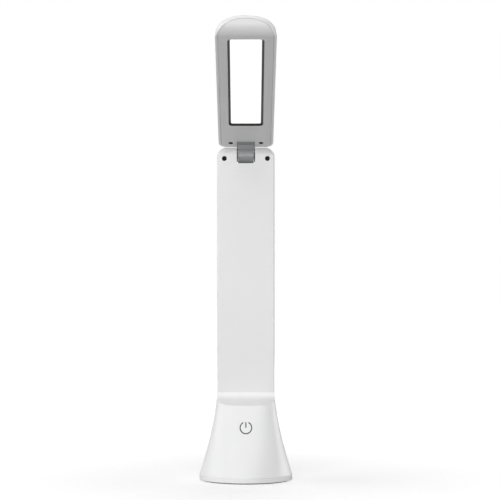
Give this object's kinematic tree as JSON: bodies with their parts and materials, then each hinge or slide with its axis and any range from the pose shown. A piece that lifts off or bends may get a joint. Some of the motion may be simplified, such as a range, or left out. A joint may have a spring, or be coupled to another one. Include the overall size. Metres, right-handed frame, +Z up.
{
  "type": "folding desk lamp",
  "caption": "Cordless folding desk lamp: a round flared base, a flat upright column and a slim light head that folds down onto it on a friction hinge.",
  "frame": {"origin": "centre of the anti-slip pad's underside, on the surface the lamp stands on", "axes": "+X to the right of someone facing the light, -Y to the front where the head leans, +Z up the column"},
  "size_m": [0.087, 0.2336, 0.4137],
  "materials": {
    "white_plastic": "satin",
    "grey_plastic": "satin",
    "dark_plastic": "matt",
    "carrier_plastic": "matt",
    "pad_rubber": "matt",
    "steel": "brushed",
    "black_steel": "black oxide",
    "cell_wrap": "shrink wrap",
    "board": "solder mask",
    "led_board_white": "white mask",
    "chips": "phosphor",
    "opal": "opal",
    "lead_sleeve": "smooth",
    "washer_fibre": "greased fibre",
    "symbol_ink": "satin"
  },
  "bodies": {
    "stand": {"base_housing": "white_plastic", "base_plate": "white_plastic", "anti_slip_pad": "pad_rubber", "counterweight": "steel", "battery_carrier": "carrier_plastic", "battery_cell": "cell_wrap", "main_board": "board", "usb_socket": "steel", "touch_board": "board", "touch_spring": "steel", "power_symbol": "symbol_ink", "base_screws": "black_steel", "board_screws": "steel", "column_rear": "white_plastic", "column_cover": "white_plastic", "column_screws": "black_steel", "column_lead": "lead_sleeve", "hinge_bracket_left": "steel", "hinge_bracket_right": "steel", "hinge_shaft": "steel", "friction_washers": "washer_fibre", "spring_washer": "steel", "shaft_nut": "steel"},
    "head": {"hinge_block": "grey_plastic", "head_shell": "white_plastic", "head_bezel": "white_plastic", "window_frame": "dark_plastic", "diffuser": "opal", "led_board": "led_board_white", "led_chips": "chips", "led_screws": "steel", "head_screws": "black_steel", "head_lead": "lead_sleeve"}
  },
  "joints": [
    {"name": "head_fold", "type": "hinge", "parent": "stand", "child": "head", "pos_m": [0, 0.0075, 0.304], "axis": [1, 0, 0], "range_deg": [-66.4, 113.6]}
  ]
}
